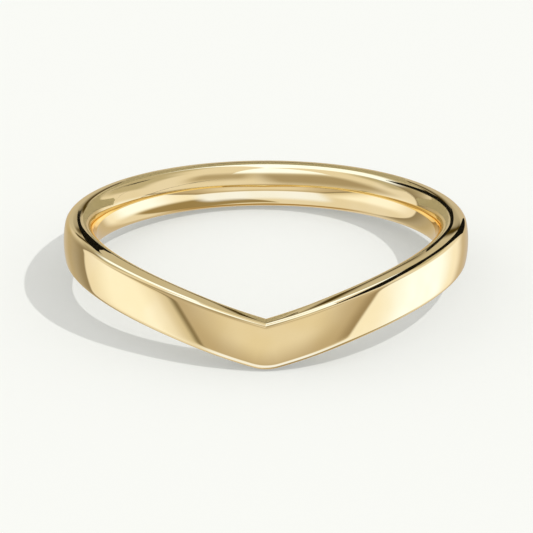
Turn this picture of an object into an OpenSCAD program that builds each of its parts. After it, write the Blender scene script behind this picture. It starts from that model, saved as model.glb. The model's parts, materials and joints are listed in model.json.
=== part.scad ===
// A plain chevron ring of one piece of metal, lying on its side as it rests by itself:
// on the tip of its V at the front and on the lower edge of its shank at the back.
// The front faces -Y. The origin is on the surface that the ring lies on, under the middle of its box.

/* [Ring] */
// Inside diameter, across the land of the bore
finger_d = 17; // [14:0.1:22]
// Thickness of the metal, from the bore to the top of the outer crown
thickness = 1.65; // [1.5:0.05:2.3]
// Width of the band, measured square across it
band_w = 2.35; // [2:0.05:3.6]

/* [Chevron] */
// How far the tip of the V drops below the shank
drop = 2.3; // [1.7:0.05:3.2]
// Slope of each straight arm, in degrees
arm_slope = 15.5; // [12:0.5:20]
// How far the curve of each shoulder reaches along its arm, and as far along the shank
shoulder = 5.7; // [2:0.1:7]
// How far above the top edge the bend of the two arms is centred, which leaves its crease this soft
crease = 0.05; // [0.02:0.01:0.2]

/* [Section] */
// Rise of the crown of the inner wall, across the band
inner_crown = 0.55; // [0.1:0.01:0.6]
// Rise of the crown of the shank's outer wall
shank_crown = 0.2; // [0.05:0.01:0.35]
// Rise of the flatter crown of the outer wall at the tip
tip_crown = 0.03; // [0.02:0.01:0.2]
// Radius of the inner edges
inner_edge = 0.75; // [0.2:0.05:0.8]
// Radius of the shank's outer edges
shank_edge = 0.45; // [0.1:0.05:0.55]
// Radius of the crisper outer edges at the tip
tip_edge = 0.22; // [0.05:0.01:0.35]
// Angle round the ring, from the tip, at which the section has become the shank's
shank_from = 130; // [80:5:160]

/* [Bore] */
// How deep the bore is cut into the inner crown, which leaves its land
land_depth = 0.03; // [0.02:0.01:0.08]
// Angle round the ring, from the tip, at which the land starts
land_from = 38; // [25:1:42]

/* [Hidden] */

bore_r = finger_d / 2;
half_w = band_w / 2;
// Lengths round the ring are measured on the radius of its outer wall
outer_r = bore_r + thickness;
half_round = PI * outer_r;
// At the tip the inner crown stands this far outside the bore, and it dips into it over this angle
land_relief = land_depth;
land_fade = 12;

// Where the line of an arm would meet the shank, and the arc that takes the shoulder round that corner
arm_run = drop / tan(arm_slope);
shoulder_start = arm_run - shoulder * cos(arm_slope);
shoulder_end = arm_run + shoulder;
shoulder_r = shoulder / tan(arm_slope / 2);

// Steps of the sweep: the bend at the tip, then one arm with its shoulder, then half the shank
tip_steps = 4;
arm_steps = 33;
shank_steps = 35;
// Steps of the arcs of a section
crown_steps = 9;
edge_steps = 4;
bore_sides = 180;

function mix(a, b, share) = a + (b - a) * share;
function clamped(x, low, high) = min(max(x, low), high);
function eased(share) = share * share * (3 - 2 * share);
function degrees_round(s) = s / outer_r * 180 / PI;

// Points of an arc, without the first and last few where skip is given
function arc(centre, r, from, to, steps, skip = 0) =
    [for (i = [skip : steps - skip])
        let (angle = mix(from, to, i / steps))
        centre + r * [cos(angle), sin(angle)]];

function crown_radius(rise) = (half_w * half_w + rise * rise) / (2 * rise);

// How far the arc of an edge is centred behind the top of its wall's crown
function setback(rise, edge) =
    let (crown_r = crown_radius(rise))
    crown_r - sqrt(pow(crown_r - edge, 2) - pow(half_w - edge, 2));

// A crowned wall and its two edges, from the lower end to the upper one. The top of the crown is at
// [0, 0] and the metal lies behind it, on the -X side.
function wall(rise, edge) =
    let (
        crown_r = crown_radius(rise),
        behind = setback(rise, edge),
        turn = atan2(half_w - edge, crown_r - behind)
    )
    concat(
        arc([-behind, edge - half_w], edge, -90, -turn, edge_steps),
        arc([-crown_r, 0], crown_r, -turn, turn, crown_steps, 1),
        arc([-behind, half_w - edge], edge, turn, 90, edge_steps)
    );

// The section at an angle round from the tip, as [distance from the finger's axis, height] points
function section(angle) =
    let (
        share = eased(clamped(angle / shank_from, 0, 1)),
        dip = clamped((land_from - angle) / land_fade, -1, 1),
        inner_r = bore_r + (dip > 0 ? land_relief : land_depth) * dip,
        outside = wall(mix(tip_crown, shank_crown, share), mix(tip_edge, shank_edge, share)),
        inside = wall(inner_crown, inner_edge)
    )
    concat(
        [for (p = outside) [outer_r + p.x, p.y]],
        [for (p = inside) [inner_r - p.x, -p.y]]
    );

// Height and slope of the top edge at a distance s round from the tip
function edge_z(s) =
    s < shoulder_start ? s * tan(arm_slope) - drop
    : s < shoulder_end ? sqrt(pow(shoulder_r, 2) - pow(shoulder_end - s, 2)) - shoulder_r
    : 0;
function edge_slope(s) =
    s < shoulder_start ? arm_slope
    : s < shoulder_end ? asin((shoulder_end - s) / shoulder_r)
    : 0;

// Stations from the tip to the back, as [distance round from the tip, lean of the section]
stations = concat(
    [for (i = [0 : tip_steps - 1]) [0, arm_slope * i / tip_steps]],
    [for (i = [0 : arm_steps - 1])
        let (s = shoulder_end * i / arm_steps)
        [s, edge_slope(s)]],
    [for (i = [0 : shank_steps]) [mix(shoulder_end, half_round, i / shank_steps), 0]]
);

// The section set at a station, square to the top edge, on one side of the tip (right 1, left -1)
function placed(station, side) =
    let (s = station[0], lean = station[1])
    [for (p = section(degrees_round(s)))
        let (
            below = half_w + crease - p.y,
            angle = degrees_round(s + below * sin(lean)),
            z = half_w + crease + edge_z(s) - below * cos(lean)
        )
        [side * p.x * sin(angle), -p.x * cos(angle), z]];

// The loops of points round the band, from the back by the left arm to the tip, and on to the back
loops = concat(
    [for (i = [len(stations) - 2 : -1 : 1]) placed(stations[i], -1)],
    [for (station = stations) placed(station, 1)]
);
points = [for (loop = loops) each loop];

// Two triangles for each cell between neighbouring loops, cut along mirrored diagonals left and right
function cell(a, b, c, d, mirrored) = mirrored ? [[a, b, d], [b, c, d]] : [[a, b, c], [a, c, d]];
loop_size = len(loops[0]);
faces = [for (i = [0 : len(loops) - 1])
    let (here = i * loop_size, next = (i + 1) % len(loops) * loop_size)
    for (j = [0 : loop_size - 1])
        let (k = (j + 1) % loop_size)
        each cell(here + j, here + k, next + k, next + j, i < len(stations) - 2)];

// At rest the ring leans back on two arcs: the inner edge at the tip and the shank's outer edge
touch_y = outer_r - setback(shank_crown, shank_edge)
    + bore_r + land_relief + setback(inner_crown, inner_edge);
touch_z = drop - inner_edge + shank_edge;
rest_tilt = atan2(touch_z, touch_y) + asin((inner_edge - shank_edge) / norm([touch_y, touch_z]));

// Where the leaning ring's lowest point and the middle of its box are
rest_y = [for (p = points) p.y * cos(rest_tilt) + p.z * sin(rest_tilt)];
rest_z = [for (p = points) p.z * cos(rest_tilt) - p.y * sin(rest_tilt)];
seat = [0, -(min(rest_y) + max(rest_y)) / 2, -min(rest_z)];

module band() {
    color([0.86, 0.69, 0.38])
        translate(seat)
            rotate([-rest_tilt, 0, 0])
                difference() {
                    polyhedron(points = points, faces = faces, convexity = 6);
                    cylinder(r = bore_r, h = 2 * (drop + band_w), center = true, $fn = bore_sides);
                }
}

band();
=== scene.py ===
# %% [markdown]
# # A chevron ring in polished yellow gold
#
# The ring is one piece of metal: a band 2.35 mm wide whose front dips to a V. It lies on its side on
# a pale surface, on the tip of the V and on the back of its shank. This lesson models the band the
# way a jeweller makes one, as a flat strip that is bent round into a ring, and then gives it its
# polish and its light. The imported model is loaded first, because it fixes the size, the place and
# the lean of everything else.

# %% Load the frame
import json
import math

import bpy
from mathutils import Matrix, Vector

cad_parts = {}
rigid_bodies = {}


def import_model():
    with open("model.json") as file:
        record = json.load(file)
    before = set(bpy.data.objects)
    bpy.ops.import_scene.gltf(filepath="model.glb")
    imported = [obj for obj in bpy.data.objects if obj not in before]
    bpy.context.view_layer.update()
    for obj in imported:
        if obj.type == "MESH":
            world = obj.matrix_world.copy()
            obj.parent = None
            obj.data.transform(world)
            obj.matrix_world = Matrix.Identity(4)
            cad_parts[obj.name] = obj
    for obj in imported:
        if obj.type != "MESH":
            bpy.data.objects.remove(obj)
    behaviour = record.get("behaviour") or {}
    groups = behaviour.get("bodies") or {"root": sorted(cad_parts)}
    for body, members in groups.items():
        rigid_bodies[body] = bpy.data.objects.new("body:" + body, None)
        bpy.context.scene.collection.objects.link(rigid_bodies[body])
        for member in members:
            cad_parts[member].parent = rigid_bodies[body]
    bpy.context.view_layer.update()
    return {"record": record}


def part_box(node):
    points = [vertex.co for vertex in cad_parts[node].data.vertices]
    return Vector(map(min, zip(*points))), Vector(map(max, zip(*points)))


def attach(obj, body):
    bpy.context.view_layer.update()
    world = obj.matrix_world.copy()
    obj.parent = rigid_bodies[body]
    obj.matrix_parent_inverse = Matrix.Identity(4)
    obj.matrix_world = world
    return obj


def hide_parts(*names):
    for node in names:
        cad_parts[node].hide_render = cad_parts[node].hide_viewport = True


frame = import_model()
MM = 0.001

# %% [markdown]
# ## The sizes
#
# The bore's radius and the way its axis leans come from the frame, so the band that is modelled here
# can't drift away from the solid that it stands for. The rest are the ring's own sizes. Lengths
# round the ring are measured on its outer wall, because that is the side of the strip that keeps
# its length when the strip is bent.

# %% Name the sizes
bore = frame["record"]["mounts"][0]
bore_axis = Vector(bore["axis"])
BORE_R = bore["dims"]["r_mm"] * MM
REST_LEAN = math.atan2(bore_axis.y, bore_axis.z)

THICKNESS = 1.65 * MM
WIDTH = 2.35 * MM
DROP = 2.3 * MM
ARM_SLOPE = math.radians(15.5)
SHOULDER = 5.7 * MM
CREASE = 0.05 * MM

INNER_CROWN = 0.55 * MM
SHANK_CROWN = 0.2 * MM
TIP_CROWN = 0.03 * MM
INNER_EDGE = 0.75 * MM
SHANK_EDGE = 0.45 * MM
TIP_EDGE = 0.22 * MM
SHANK_FROM = math.radians(130)

HALF_W = WIDTH / 2
OUTER_R = BORE_R + THICKNESS
HALF_ROUND = math.pi * OUTER_R
print("outer radius", round(OUTER_R / MM, 3), "mm, lean", round(math.degrees(REST_LEAN), 2), "degrees")

# %% [markdown]
# ## The camera
#
# The camera comes before the modelling, so that every later look at the ring is from the
# photograph's side. It looks along +Y from 24.6 degrees above the surface, through a long lens. Where
# the middle of the shank falls in the picture, and how large a millimetre is there, fix its aim and
# its focal length. It is aimed by turning it, with no lens shift.

# %% Place the camera
FRAME_PX = 533
CENTRE_PX = Vector((265.95, 238.16))
PX_PER_MM = 19.916
CAMERA_FAR = 214 * MM
CAMERA_UP = math.radians(24.6)
CLIP_RATIO = 20

ring_centre = Vector(bore["pos_m"])
towards_camera = Vector((0, -math.cos(CAMERA_UP), math.sin(CAMERA_UP)))
picture_up = Vector((0, math.sin(CAMERA_UP), math.cos(CAMERA_UP)))
picture_right = Vector((1, 0, 0))
off_centre = (Vector((FRAME_PX / 2, FRAME_PX / 2)) - CENTRE_PX) / PX_PER_MM * MM
aim = ring_centre + picture_right * off_centre.x - picture_up * off_centre.y

camera_data = bpy.data.cameras.new("camera")
camera = bpy.data.objects.new("camera", camera_data)
bpy.context.collection.objects.link(camera)
camera.location = ring_centre + towards_camera * CAMERA_FAR
camera.rotation_euler = (aim - camera.location).to_track_quat("-Z", "Y").to_euler()
camera_data.lens = camera_data.sensor_width * PX_PER_MM * CAMERA_FAR / MM / FRAME_PX
camera_data.clip_start = CAMERA_FAR / CLIP_RATIO
camera_data.clip_end = CAMERA_FAR * CLIP_RATIO
bpy.context.scene.camera = camera
print("lens", round(camera_data.lens), "mm")

# %% [markdown]
# ## The outline of the band
#
# Cut square across, the band is a rounded bar: an outer wall and an inner wall, each with a low
# crown, and four rounded edges. It could be a rectangle with bevels, but a bevel can't give the
# crowns, and a mirror polish shows every flat. So the outline is drawn as a draughtsman draws it,
# with a point that is swung round one arc after another by the spin tool. The tip's outline is flat
# and crisp, the shank's is domed and soft, and every section between them mixes the two.

# %% Draw one outline
EDGE_STEPS = 6
CROWN_STEPS = 14


def crown_radius(rise):
    return (HALF_W ** 2 + rise ** 2) / (2 * rise)


def edge_setback(rise, edge):
    """How far the arc of an edge is centred behind the top of its wall's crown."""
    radius = crown_radius(rise)
    return radius - math.sqrt((radius - edge) ** 2 - (HALF_W - edge) ** 2)


def swing(x, y, z, angle, steps):
    bpy.ops.mesh.spin(steps=steps, angle=angle, center=(x, y, z), axis=(1, 0, 0))


def draw_wall(x, top, inward, z, rise, edge):
    """Swings the point up the outer wall (inward 1) or down the inner one (inward -1)."""
    radius = crown_radius(rise)
    setback = edge_setback(rise, edge)
    turn = math.atan2(HALF_W - edge, radius - setback)
    swing(x, top + inward * setback, z - inward * (HALF_W - edge), math.pi / 2 - turn, EDGE_STEPS)
    swing(x, top + inward * radius, z, 2 * turn, CROWN_STEPS)
    swing(x, top + inward * setback, z + inward * (HALF_W - edge), math.pi / 2 - turn, EDGE_STEPS)


def draw_outline(x, z, outer_crown, outer_edge):
    """Draws a closed outline square across the strip at x, with its outer wall facing -Y."""
    outer_setback = edge_setback(outer_crown, outer_edge)
    flat = THICKNESS - outer_setback - edge_setback(INNER_CROWN, INNER_EDGE)
    bpy.ops.mesh.select_all(action="DESELECT")
    bpy.ops.mesh.primitive_plane_add(size=MM, location=(x, outer_setback, z - HALF_W))
    bpy.ops.mesh.merge(type="CENTER")
    draw_wall(x, 0, 1, z, outer_crown, outer_edge)
    bpy.ops.mesh.extrude_region_move(TRANSFORM_OT_translate={"value": (0, flat, 0)})
    draw_wall(x, THICKNESS, -1, z, INNER_CROWN, INNER_EDGE)
    bpy.ops.mesh.extrude_region_move(TRANSFORM_OT_translate={"value": (0, -flat, 0)})
    bpy.ops.mesh.select_linked()


# %% [markdown]
# ## The strip
#
# Rolled out flat, the right half of the ring is a strip whose top edge climbs from the tip along a
# straight arm, turns through a shoulder and runs level along the shank. Outlines are set along it
# like the ribs of a boat, each turned square to the top edge. At the tip they all stand on one spot
# and fan out, which leaves a crisp crease in the top edge and a round bottom to the V.

# %% Set the outlines along the strip
FAN_STEPS = 5
ARM_STEPS = 34
SHANK_STEPS = 36

arm_run = DROP / math.tan(ARM_SLOPE)
shoulder_start = arm_run - SHOULDER * math.cos(ARM_SLOPE)
shoulder_end = arm_run + SHOULDER
shoulder_r = SHOULDER / math.tan(ARM_SLOPE / 2)


def edge_height(x):
    if x < shoulder_start:
        return x * math.tan(ARM_SLOPE) - DROP
    if x < shoulder_end:
        return math.sqrt(shoulder_r ** 2 - (shoulder_end - x) ** 2) - shoulder_r
    return 0


def edge_slope(x):
    if x < shoulder_start:
        return ARM_SLOPE
    if x < shoulder_end:
        return math.asin((shoulder_end - x) / shoulder_r)
    return 0


def mix(a, b, share):
    return a + (b - a) * share


fan = [(0, ARM_SLOPE * i / FAN_STEPS) for i in range(FAN_STEPS)]
arm = [(x, edge_slope(x)) for x in (shoulder_end * i / ARM_STEPS for i in range(ARM_STEPS))]
shank = [(mix(shoulder_end, HALF_ROUND, i / SHANK_STEPS), 0) for i in range(SHANK_STEPS + 1)]
stations = fan + arm + shank

bpy.ops.object.select_all(action="DESELECT")
bpy.ops.mesh.primitive_plane_add(size=MM)
band = bpy.context.object
band.name = band.data.name = "polished_band"
bpy.ops.object.mode_set(mode="EDIT")
bpy.ops.mesh.delete(type="VERT")
for x, lean in stations:
    share = min(x / OUTER_R / SHANK_FROM, 1)
    share = share * share * (3 - 2 * share)
    height = edge_height(x)
    draw_outline(x, height, mix(TIP_CROWN, SHANK_CROWN, share), mix(TIP_EDGE, SHANK_EDGE, share))
    pivot = (x, 0, HALF_W + CREASE + height)
    bpy.ops.transform.rotate(value=lean, orient_axis="Y", center_override=pivot)
print(len(stations), "outlines")

# %% [markdown]
# ## Loft, mirror and bend
#
# Bridging the outlines skins the ribs. The mirror adds the left arm, and the bend rolls the strip
# round a full turn, so its two ends meet at the back, where they are merged. The bend keeps the
# outer wall at its own length, which is why the strip was laid out on it. Bending a flat strip gives
# truly round walls, where sculpting a ring's front down into a V would leave dents in its polish.

# %% Close the band
WELD = 0.0001 * MM

bpy.ops.mesh.select_all(action="SELECT")
bpy.ops.mesh.remove_doubles(threshold=WELD)
bpy.ops.mesh.bridge_edge_loops()
bpy.ops.object.mode_set(mode="OBJECT")

mirror = band.modifiers.new("left arm", "MIRROR")
mirror.merge_threshold = WELD
bend = band.modifiers.new("round the finger", "SIMPLE_DEFORM")
bend.deform_method = "BEND"
bend.deform_axis = "Z"
bend.angle = 2 * math.pi
bpy.ops.object.modifier_apply(modifier=mirror.name)
bpy.ops.object.modifier_apply(modifier=bend.name)

bpy.ops.object.mode_set(mode="EDIT")
bpy.ops.mesh.select_all(action="SELECT")
bpy.ops.mesh.remove_doubles(threshold=WELD)
bpy.ops.mesh.normals_make_consistent(inside=False)
bpy.ops.object.mode_set(mode="OBJECT")

smooth = band.modifiers.new("finer facets", "SUBSURF")
smooth.levels = smooth.render_levels = 1
bpy.ops.object.modifier_apply(modifier=smooth.name)
bpy.ops.object.shade_smooth()
print(len(band.data.polygons), "faces")

# %% [markdown]
# ## Lay the ring down
#
# The bent strip stands with its finger's axis upright. It is leaned back as the bore's axis says, and
# moved until its lowest point and the middle of its box are where the solid's are. Its place is then
# applied to its mesh, so that the object itself stays at the origin.

# %% Lay the band on the surface
node_low, node_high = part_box("band")
band.rotation_euler.x = -REST_LEAN
bpy.ops.object.transform_apply(location=True, rotation=True, scale=True)
ys = [v.co.y for v in band.data.vertices]
zs = [v.co.z for v in band.data.vertices]
band.location.y = (node_low[1] + node_high[1]) / 2 - (min(ys) + max(ys)) / 2
band.location.z = node_low[2] - min(zs)
bpy.ops.object.transform_apply(location=True, rotation=True, scale=True)
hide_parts("band")
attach(band, "root")

# %% [markdown]
# ## A shorthand for shader maths
#
# From here on the work is materials and light, and both are built of nodes. Wiring each Math node by
# hand hides a formula that fits on one line. So a small class wraps a node's output, and adding,
# subtracting, multiplying or dividing it adds the node that does so. Every other kind of node comes
# from its one method, add, which makes the settings first, because some of them change which sockets
# the node has.

# %% Wrap a socket
class Wire:
    """A node's output that can be used in a formula."""

    def __init__(self, socket):
        self.socket = socket

    @classmethod
    def add(cls, tree, kind, settings, sockets, output=0):
        node = tree.nodes.new(kind)
        for name, value in settings.items():
            setattr(node, name, value)
        for name, value in sockets.items():
            if isinstance(value, Wire):
                tree.links.new(value.socket, node.inputs[name])
            else:
                node.inputs[name].default_value = value
        return cls(node.outputs[output])

    def out(self, name):
        return Wire(self.socket.node.outputs[name])

    def math(self, operation, *values):
        tree = self.socket.id_data
        return Wire.add(tree, "ShaderNodeMath", {"operation": operation}, dict(enumerate(values)))

    def rise(self, start, end):
        """A soft step from 0 at start to 1 at end, or a soft fall where end is the lower one."""
        settings = {"interpolation_type": "SMOOTHSTEP"}
        sockets = {"Value": self, "From Min": start, "From Max": end}
        return Wire.add(self.socket.id_data, "ShaderNodeMapRange", settings, sockets)

    def __add__(self, other):
        return self.math("ADD", self, other)

    def __sub__(self, other):
        return self.math("SUBTRACT", self, other)

    def __rsub__(self, other):
        return self.math("SUBTRACT", other, self)

    def __mul__(self, other):
        return self.math("MULTIPLY", self, other)

    __radd__ = __add__
    __rmul__ = __mul__


def blend(share, first, second, label):
    """The colour that goes from the first to the second as share goes from 0 to 1."""
    settings = {"data_type": "RGBA", "label": label}
    sockets = {0: share, 6: first, 7: second}
    return Wire.add(share.socket.id_data, "ShaderNodeMix", settings, sockets, output=2)


# %% [markdown]
# ## Polished gold
#
# The metal is yellow gold, buffed to a mirror. A mirror has hardly a look of its own: its colour is
# what it does to the light it gives back, so the base colour is warm and bright, and the shapes that
# are seen in it come from the studio below. What keeps it from looking computed is the little that a
# buffing wheel leaves: hairlines along the band, a gloss that changes slightly from patch to patch,
# and a breath of cloud in the tone. The lines have to follow the band. Noise read by the angle round
# the finger would, but it has a seam. So the noise is read in place and is squeezed along the axis
# and outwards from it, and hardly changes in any other direction.

# %% Polish the gold
GOLD = (0.975, 0.78, 0.40, 1)
GOLD_CLOUDED = (0.955, 0.75, 0.36, 1)
HAIRLINES_PER_MM = 9
HAIRLINE_LENGTH = 4
HAIRLINE_DEPTH = 0.00004 * MM
CLOUDS_PER_MM = 0.4
CLOUD_EDGES = (0.35, 0.65)
HAIRLINE_DETAIL = 3
CLOUD_DETAIL = 2
EDGE_TINT = (1, 0.93, 0.8, 1)
GLOSSIEST = 0.02
DULLING = 0.05

gold = bpy.data.materials.new("polished_gold")
gold.use_nodes = True
tree = gold.node_tree
upright_centre = Matrix.Rotation(REST_LEAN, 3, "X") @ ring_centre / MM
place = Wire.add(tree, "ShaderNodeTexCoord", {}, {}, output="Object")
mapped = {
    "Vector": place,
    "Location": -upright_centre,
    "Rotation": (REST_LEAN, 0, 0),
    "Scale": (1 / MM, 1 / MM, 1 / MM),
}
upright = Wire.add(tree, "ShaderNodeMapping", {}, mapped)
across = Wire.add(tree, "ShaderNodeSeparateXYZ", {}, {0: upright}, output="X")
along = across.out("Y")
height = across.out("Z")
radius = across.math("SQRT", across * across + along * along)

stretch = 1 / HAIRLINE_LENGTH
squeezed = {0: across * stretch, 1: along * stretch, 2: height * HAIRLINES_PER_MM}
lines_at = Wire.add(tree, "ShaderNodeCombineXYZ", {}, squeezed)
line_noise = {"Vector": lines_at, "W": radius * HAIRLINES_PER_MM, "Scale": 1, "Detail": HAIRLINE_DETAIL}
hairlines = Wire.add(tree, "ShaderNodeTexNoise", {"noise_dimensions": "4D"}, line_noise)
cloud_noise = {"Vector": upright, "Scale": CLOUDS_PER_MM, "Detail": CLOUD_DETAIL}
clouds = Wire.add(tree, "ShaderNodeTexNoise", {}, cloud_noise).rise(*CLOUD_EDGES)
dents = {"Distance": HAIRLINE_DEPTH, "Height": hairlines}
brushed = Wire.add(tree, "ShaderNodeBump", {}, dents)

shader = tree.nodes["Principled BSDF"]
shader.inputs["Metallic"].default_value = 1
shader.inputs["Specular Tint"].default_value = EDGE_TINT
clouded = blend(clouds, GOLD, GOLD_CLOUDED, "cloud in the tone")
tree.links.new(clouded.socket, shader.inputs["Base Color"])
tree.links.new((GLOSSIEST + DULLING * clouds * hairlines).socket, shader.inputs["Roughness"])
tree.links.new(brushed.socket, shader.inputs["Normal"])
band.data.materials.append(gold)
print("gold", len(tree.nodes), "nodes")

# %% [markdown]
# ## The surface
#
# The ring lies on a sheet of matt white paper that is far larger than the view, so that it has no
# edge or horizon in the picture. The paper has no gloss. Reflections in the gold don't see it: what
# they see below the ring is painted into the studio with the rest, where its brightness can be set
# on its own.

# %% Lay the paper
PAPER = (0.9, 0.907, 0.866)
PAPER_SIZE = 2000 * MM


def matt(name, colour):
    """Makes a material with no gloss at all."""
    sheet = bpy.data.materials.new(name)
    sheet.use_nodes = True
    surface = sheet.node_tree.nodes["Principled BSDF"]
    surface.inputs["Base Color"].default_value = (*colour, 1)
    surface.inputs["Roughness"].default_value = 1
    surface.inputs["Specular IOR Level"].default_value = 0
    return sheet


bpy.ops.object.select_all(action="DESELECT")
bpy.ops.mesh.primitive_plane_add(size=PAPER_SIZE)
floor = bpy.context.object
floor.name = floor.data.name = "floor"
floor.visible_glossy = False
floor.data.materials.append(matt("paper", PAPER))
print("paper", PAPER_SIZE, "m wide")

# %% [markdown]
# ## The soft light and the crisp shadow
#
# Two lights fall on the paper. Three quarters come from all round, as in a white tent, and a quarter
# from one small bright source high on the right, which throws the crisp shadow to the left. The
# source is a sun, because its rays are parallel and one angle sets how sharp the shadow is.

# %% Shine the sun
TENT = 0.815
SUN_SHARE = 0.94
SUN_SIZE = math.radians(1.2)
SUN_FROM = Vector((0.65, -0.25, 1))

sun_data = bpy.data.lights.new("sun", "SUN")
sun_data.energy = SUN_SHARE
sun_data.angle = SUN_SIZE
sun = bpy.data.objects.new("sun", sun_data)
bpy.context.collection.objects.link(sun)
sun.rotation_euler = SUN_FROM.to_track_quat("Z", "Y").to_euler()
sun.visible_glossy = False
print("sun from", [round(math.degrees(a)) for a in sun.rotation_euler])

# %% [markdown]
# ## The studio in the mirror
#
# A polished ring is lit by what it sees. The photograph's ring seems to see bright panels left and
# right, a tan board with dark edges round the lens, shade behind and a white ceiling. They could be
# built as cards, but then their size, tilt and distance all have to be guessed. So they are painted
# on the world, by direction: the azimuth runs from 0 towards the camera to 90 on the right, and the
# elevation from -90 below to 90 above. Each panel is a window with four soft edges, the later ones
# over the earlier ones. A colour above 1 is brighter than white paper, and a blue one comes back
# from the gold as white.

# %% Read the direction
world = bpy.data.worlds.new("studio")
world.use_nodes = True
bpy.context.scene.world = world
bpy.context.scene.view_settings.view_transform = "Standard"
sky = world.node_tree
TO_DEGREES = math.degrees(1)

ray = Wire.add(sky, "ShaderNodeTexCoord", {}, {}, output="Generated")
to_right = Wire.add(sky, "ShaderNodeSeparateXYZ", {}, {0: ray}, output="X")
azimuth = to_right.math("ARCTAN2", to_right, 0 - to_right.out("Y")) * TO_DEGREES
elevation = to_right.math("ARCSINE", to_right.out("Z")) * TO_DEGREES


def hang(seen, name, colour, left, right, low, high):
    """Hangs a panel. Each side is a place and a softness in degrees, left and right also a lean."""
    middle = (low[0] + high[0]) / 2
    share = elevation.rise(low[0] - low[1] / 2, low[0] + low[1] / 2)
    share = elevation.rise(high[0] + high[1] / 2, high[0] - high[1] / 2) * share
    for (place, soft, *lean), way in ((left, 1), (right, -1)):
        slant = (elevation - middle) * (lean[0] if lean else 0)
        turn = azimuth.math("WRAP", azimuth - place - slant, 180, -180)
        share = turn.rise(-way * soft / 2, way * soft / 2) * share
    return blend(share, seen, (*colour, 1), name)


# %% Hang the low panels
seen = (0.83, 0.84, 0.95, 1)
low_panels = {
    "shade behind": ((0.52, 0.51, 0.48), (100, 20), (-100, 20), (26, 8), (58, 16)),
    "warm shade low behind": ((0.62, 0.58, 0.5), (160, 20), (-140, 20), (-45, 16), (8, 12)),
    "dark end on the left": ((0.29, 0.26, 0.22), (-143, 50), (-121, 3), (-57, 20), (57, 20)),
    "left panel": ((0.90, 0.92, 1.07), (-121, 4), (-50, 30), (-34, 20), (8, 14)),
    "bright middle of the left panel": ((1.06, 1.16, 1.5), (-106, 26), (-66, 24, -1), (-30, 14), (6, 14)),
    "shade beside the board": ((0.70, 0.68, 0.68), (-63, 14, -1.2), (-50, 3, -1.2), (-20, 4), (8, 4)),
    "dark left edge of the board": ((0.25, 0.22, 0.17), (-57, 6, -1.28), (-51, 3, -1.28), (-19, 2), (8, 4)),
    "tan board round the lens": ((0.54, 0.49, 0.46), (-52.3, 4, -1.28), (69, 4, 1.5), (-19, 2), (8, 4)),
    "light patch on the board": ((0.82, 0.81, 0.86), (-31, 38, -0.9), (38, 32, 0.9), (-15, 7), (-1, 14)),
    "dark right edge of the board": ((0.36, 0.31, 0.26), (61, 12, 1.5), (70, 4, 1.5), (-19, 2), (8, 4)),
    "right panel": ((1.0, 1.06, 1.3), (53, 4, 1.5), (150, 10), (-34, 14), (2, 14)),
    "bright middle of the right panel": ((1.08, 1.34, 2.1), (76, 30), (122, 22), (-34, 14), (2, 14)),
    "shade right of the right panel": ((0.60, 0.56, 0.52), (141, 16), (178, 30), (-60, 20), (8, 6)),
}
for name, panel in low_panels.items():
    seen = hang(seen, name, *panel)
print(len(low_panels), "low panels")

# %% Hang the rest above and below
panels = {
    "dark sheet above the left": ((0.42, 0.38, 0.34), (-77, 25, 1.1), (3, 25, 0.4), (10, 25), (50, 25)),
    "dark sheet above the right": ((0.48, 0.44, 0.40), (12, 20), (62, 20), (28, 20), (52, 20)),
    "ceiling": ((1.1, 1.35, 2.1), (-150, 14), (120, 22), (53, 14), (200, 10)),
    "ceiling at the back": ((1.15, 1.4, 2.2), (166, 6), (-126, 14), (40, 12), (200, 10)),
    "grey sheet at the back": ((0.58, 0.58, 0.6), (158, 14), (-160, 14), (2, 8), (31, 8)),
    "dark bar left on it": ((0.07, 0.05, 0.01), (160, 8), (-176, 4), (11, 3), (15, 3)),
    "dark bar right on it": ((0.07, 0.05, 0.01), (-178, 4), (-164, 4), (17, 3), (21.5, 3)),
    "brown below on the right": ((0.34, 0.28, 0.18), (10, 10, 1.5), (110, 10), (-78, 10), (-38, 10)),
    "white below in front": ((0.98, 1.15, 1.8), (-45, 14, 0.5), (50, 14), (-54, 20), (-20.5, 2)),
    "brown below behind": ((0.40, 0.27, 0.10), (110, 30), (-110, 30), (-200, 10), (-62, 16)),
}
for name, panel in panels.items():
    seen = hang(seen, name, *panel)
print(len(panels), "more panels")

# %% [markdown]
# ## Cards close by
#
# The black bands round the rims and along the arms have crisp edges, and they slip along the metal
# faster than anything far away could. So they are made as the mirror images of black felt held close
# to the ring, as a photographer does to draw the edges of a polished thing. Painted on the world,
# they would darken the back wall and the back rim too, so they are real cards. Two of felt stand
# behind the rim, splayed so that the far wall of the ring sees them edge-on, and between them a lower
# one of grey board draws the grey line along the back rim. One of felt hangs over the right arm, in a
# plane that slopes up towards the camera from the middle of the back wall, which sees it edge-on and
# so not at all.

# %% Cut the cards
BEHIND = 14
RIM_SIDE = 8.5
SPLAY = 0.6
BACK_WALL = (8.55, 1.9)
ARM_CARD_SLOPE = 37


def hold_card(name, sheet, corners):
    """Cuts a card to its corners, in millimetres, and holds it where only the mirror sees it."""
    bpy.ops.object.select_all(action="DESELECT")
    first = Vector(corners[0]) * MM
    bpy.ops.mesh.primitive_plane_add(size=MM, location=first)
    card = bpy.context.object
    card.name = card.data.name = name
    bpy.ops.object.transform_apply(location=True, rotation=True, scale=True)
    bpy.ops.object.mode_set(mode="EDIT")
    bpy.ops.mesh.merge(type="CENTER")
    for here, there in zip(corners, corners[1:]):
        step = (Vector(there) - Vector(here)) * MM
        bpy.ops.mesh.extrude_region_move(TRANSFORM_OT_translate={"value": step})
    bpy.ops.mesh.select_all(action="SELECT")
    bpy.ops.mesh.edge_face_add()
    bpy.ops.object.mode_set(mode="OBJECT")
    card.visible_camera = card.visible_diffuse = card.visible_shadow = card.visible_transmission = False
    card.data.materials.append(sheet)
    print(name, "has", len(card.data.vertices), "corners")


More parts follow.
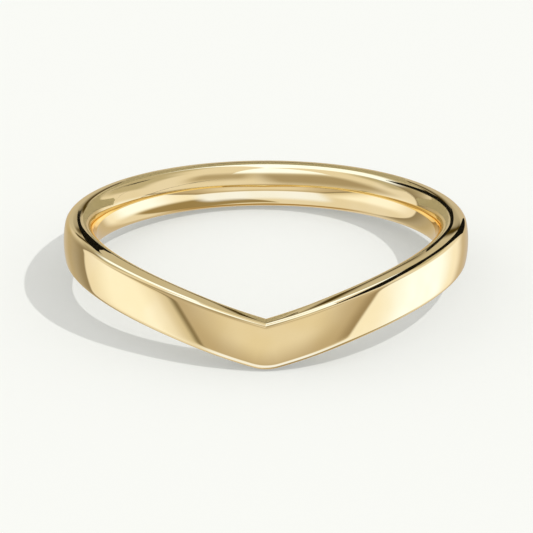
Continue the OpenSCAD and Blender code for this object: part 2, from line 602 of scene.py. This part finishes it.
def stand_behind(outline, splay):
    """Stands an outline of (x, z) upright behind the ring, splayed back towards its outer side."""
    return [(x, BEHIND + (abs(x) - RIM_SIDE) * splay, z) for x, z in outline]


def slope_up(outline):
    """Lays an outline of (x, y) on the plane that slopes up to the camera from the back wall."""
    rise = math.tan(math.radians(ARM_CARD_SLOPE))
    return [(x, y, BACK_WALL[1] + (BACK_WALL[0] - y) * rise) for x, y in outline]


# %% Hold the cards
FELT = (0.01, 0.01, 0.01)
BOARD = (0.48, 0.48, 0.45)

felt = matt("felt", FELT)
board = matt("board", BOARD)

left_outline = [(-10, 5.95), (-9.9, 7.5), (-9.7, 10), (-9.6, 13), (-8.6, 13), (-8.3, 11)]
left_outline += [(-7.7, 10.3), (-7.2, 10), (-6.6, 9.4), (-6.4, 8.4), (-2.4, 8.3), (-2.4, 7.9)]
left_outline += [(-3, 7.65), (-4.5, 7.28), (-5.5, 7.02), (-6.2, 6.97), (-6.9, 7), (-7.5, 6.7)]
left_outline += [(-8.6, 6.35), (-9.3, 6)]
hold_card("card_behind_left", felt, stand_behind(left_outline, SPLAY))

right_outline = [(9.8, 5.85), (9.8, 6.5), (9.6, 7.2), (9.3, 7.9), (8.9, 8.7), (8.4, 9.6), (7.8, 10.4)]
right_outline += [(7.5, 10.6), (7.1, 9.2), (7, 7.4), (5, 7.8), (3, 8.3), (2.4, 8.2), (3, 7.65)]
right_outline += [(4, 7.32), (5, 6.98), (6, 6.7), (7, 6.33), (8, 5.9), (8.6, 5.75), (9.2, 5.8)]
hold_card("card_behind_right", felt, stand_behind(right_outline, SPLAY))

middle_outline = [(-7.5, 3.5), (-7.5, 6.8), (-5, 7.6), (5, 7.6), (7.2, 6.4), (7.5, 3.5)]
hold_card("card_behind_middle", board, stand_behind(middle_outline, 0))

arm_outline = [(7, 0.2), (7.5, -8), (8.7, -12), (12, -24), (40, -80), (90, -52), (17.5, -8)]
arm_outline += [(12.3, -1.5), (13.1, 0.5), (14.2, 3), (16, 7), (16.5, 8.3), (12.5, 8)]
arm_outline += [(11, 4.8), (10.5, 3.2), (9.6, 1.9), (8.4, 0.9)]
hold_card("card_over_right_arm", felt, slope_up(arm_outline))

# %% [markdown]
# ## Who sees the studio
#
# The panels are for the mirror alone. Everything else sees the even white of the tent, so the paper
# stays pale. Some light reaches the paper by way of the gold, and the panels would tint it beige, while
# in the photograph the shadows beside the ring are neutral. So a glossy ray that has left the paper
# sees a bluish white, which the gold turns neutral.

# %% Share out the light
REBOUND = (0.8, 1, 1.92, 1)

tent = Wire.add(sky, "ShaderNodeBackground", {}, {"Color": (1, 1, 1, 1), "Strength": TENT})
glossy_ray = Wire.add(sky, "ShaderNodeLightPath", {}, {}, output="Is Glossy Ray")
by_paper = glossy_ray.out("Diffuse Depth").rise(0, 1)
seen = blend(by_paper, seen, REBOUND, "seen by way of the paper")
studio = Wire.add(sky, "ShaderNodeBackground", {}, {"Color": seen, "Strength": 1})
light = Wire.add(sky, "ShaderNodeMixShader", {}, {0: glossy_ray, 1: tent, 2: studio})
sky.links.new(light.socket, sky.nodes["World Output"].inputs["Surface"])
print("studio", len(sky.nodes), "nodes")
